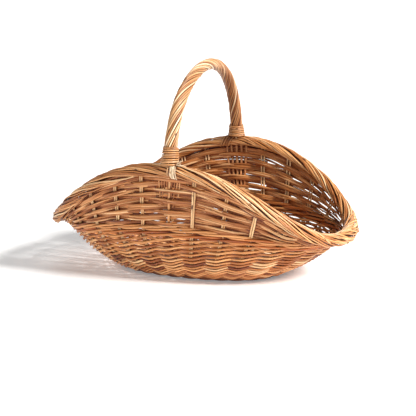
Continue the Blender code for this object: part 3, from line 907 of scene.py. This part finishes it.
# Angles in degrees, lengths in metres. The shift aims the camera right and down of its centre.
CAMERA_AZIMUTH, CAMERA_ELEVATION = 23.9, 9.8
CAMERA_DISTANCE, CAMERA_HEIGHT = 2.287, 0.130
CAMERA_SHIFT = (0.0041, -0.0433)
SENSOR_MM, LENS_MM = 36.0, 138.5


def plain(name, colour, roughness):
    material = bpy.data.materials.new(name)
    material.use_nodes = True
    shader = material.node_tree.nodes["Principled BSDF"]
    shader.inputs["Base Color"].default_value = (*colour, 1)
    shader.inputs["Roughness"].default_value = roughness
    return material


def make_floor():
    """A white floor that glows a little, to soften the shadow."""
    mesh = bpy.data.meshes.new("floor")
    turns = ((-1, -1), (1, -1), (1, 1), (-1, 1))
    corners = [(FLOOR_REACH * x, FLOOR_REACH * y, FLOOR_Z) for x, y in turns]
    mesh.from_pydata(corners, [], [(0, 1, 2, 3)])
    white = plain("floor_white", FLOOR_WHITE, 0.8)
    shader = white.node_tree.nodes["Principled BSDF"]
    shader.inputs["Emission Color"].default_value = (1, 1, 1, 1)
    shader.inputs["Emission Strength"].default_value = FLOOR_GLOW
    mesh.materials.append(white)
    floor = bpy.data.objects.new("floor", mesh)
    bpy.context.scene.collection.objects.link(floor)


def sun(name, azimuth, elevation, strength, spread, colour=(1, 1, 1)):
    """A soft distant lamp, with angles in degrees; its azimuth is measured as the camera's is."""
    data = bpy.data.lights.new(name, "SUN")
    data.energy = strength
    data.angle = math.radians(spread)
    data.color = colour
    lamp = bpy.data.objects.new(name, data)
    a, e = math.radians(azimuth), math.radians(elevation)
    back = Vector((math.sin(a) * math.cos(e), -math.cos(a) * math.cos(e), math.sin(e)))
    lamp.rotation_mode = "QUATERNION"
    lamp.rotation_quaternion = (-back).to_track_quat("-Z", "Y")
    bpy.context.scene.collection.objects.link(lamp)


def make_light():
    """A dim dome with a bright band low down all round it, and three soft suns."""
    world = bpy.data.worlds.new("studio")
    bpy.context.scene.world = world
    world.use_nodes = True
    tree = world.node_tree
    direction = add_node(tree, "ShaderNodeTexCoord").outputs["Generated"]
    parts = add_node(tree, "ShaderNodeSeparateXYZ")
    tree.links.new(direction, parts.inputs["Vector"])
    fade = add_node(tree, "ShaderNodeMapRange")
    fade.inputs["From Min"].default_value = HORIZON_TOP - HORIZON_FADE
    fade.inputs["From Max"].default_value = HORIZON_TOP
    fade.inputs["To Min"].default_value = HORIZON_LIGHT
    fade.inputs["To Max"].default_value = DOME_LIGHT
    tree.links.new(parts.outputs["Z"], fade.inputs["Value"])
    dome = tree.nodes["Background"]
    dome.inputs["Color"].default_value = DOME_COLOUR
    tree.links.new(fade.outputs["Result"], dome.inputs["Strength"])
    sun("key", azimuth=85, elevation=36, strength=5.6, spread=14, colour=WARM_WHITE)
    sun("fill", azimuth=12, elevation=4, strength=0.85, spread=50)
    sun("back", azimuth=200, elevation=40, strength=0.9, spread=40)


def make_camera():
    """A long lens a little above the basket, to the right of its front."""
    azimuth, elevation = math.radians(CAMERA_AZIMUTH), math.radians(CAMERA_ELEVATION)
    right = Vector((math.cos(azimuth), math.sin(azimuth), 0))
    forward = Vector((
        -math.sin(azimuth) * math.cos(elevation), math.cos(azimuth) * math.cos(elevation),
        -math.sin(elevation),
    ))
    up = right.cross(forward)
    centre = Vector((0, 0, CAMERA_HEIGHT))
    place = centre - forward * CAMERA_DISTANCE
    target = centre + right * CAMERA_SHIFT[0] + up * CAMERA_SHIFT[1]
    data = bpy.data.cameras.new("camera")
    data.sensor_width = SENSOR_MM
    data.lens = LENS_MM
    camera = bpy.data.objects.new("camera", data)
    camera.location = place
    camera.rotation_mode = "QUATERNION"
    camera.rotation_quaternion = (target - place).to_track_quat("-Z", "Y")
    bpy.context.scene.collection.objects.link(camera)
    bpy.context.scene.camera = camera


def main():
    bpy.context.scene.view_settings.view_transform = "Standard"
    wall_willow = willow("wall_willow", WALL_STOPS)
    make_camera()
    make_light()
    make_floor()
    make_bowl(willow("bowl_willow", BOWL_LIT_STOPS))
    make_waist(willow("waist_willow", WAIST_STOPS, 0.42))
    # The stakes take a little over half of the painted shade in the hollows
    make_stakes(willow("stake_willow", STAKE_STOPS, 0.40, crevice_shade=0.55))
    make_side("front", STAKES // 2, wall_willow)
    make_side("back", 0, wall_willow)
    make_border(willow("border_willow", RIM_STOPS, 0.40))
    handle_willow = willow("handle_willow", HANDLE_STOPS, 0.38)
    make_handle(handle_willow)
    make_leg_fan("front", FRONT_LEG, count=9, pitch=0.0034, thick=0.0011,
                 reach=(1.35, 1.72), material=wall_willow)
    make_leg_fan("back", BACK_LEG, count=5, pitch=0.0066, thick=0.0019,
                 reach=(1.0, 1.3), material=wall_willow)
    cane = willow("split_cane", CANE_STOPS, 0.40)
    make_binding("front", FRONT_BINDING, turns=8.0, at_back=False, material=cane)
    make_binding("back", BACK_BINDING, turns=6.0, at_back=True, material=cane)
    make_front_ties(cane)
    make_back_ties(cane)
    base_willow = willow("base_willow", BASE_SHADED_STOPS, 0.55)
    make_foot(base_willow)
    make_base(base_willow, willow("base_sticks", BASE_SHADED_STOPS, 0.55, from_mesh=False))


main()
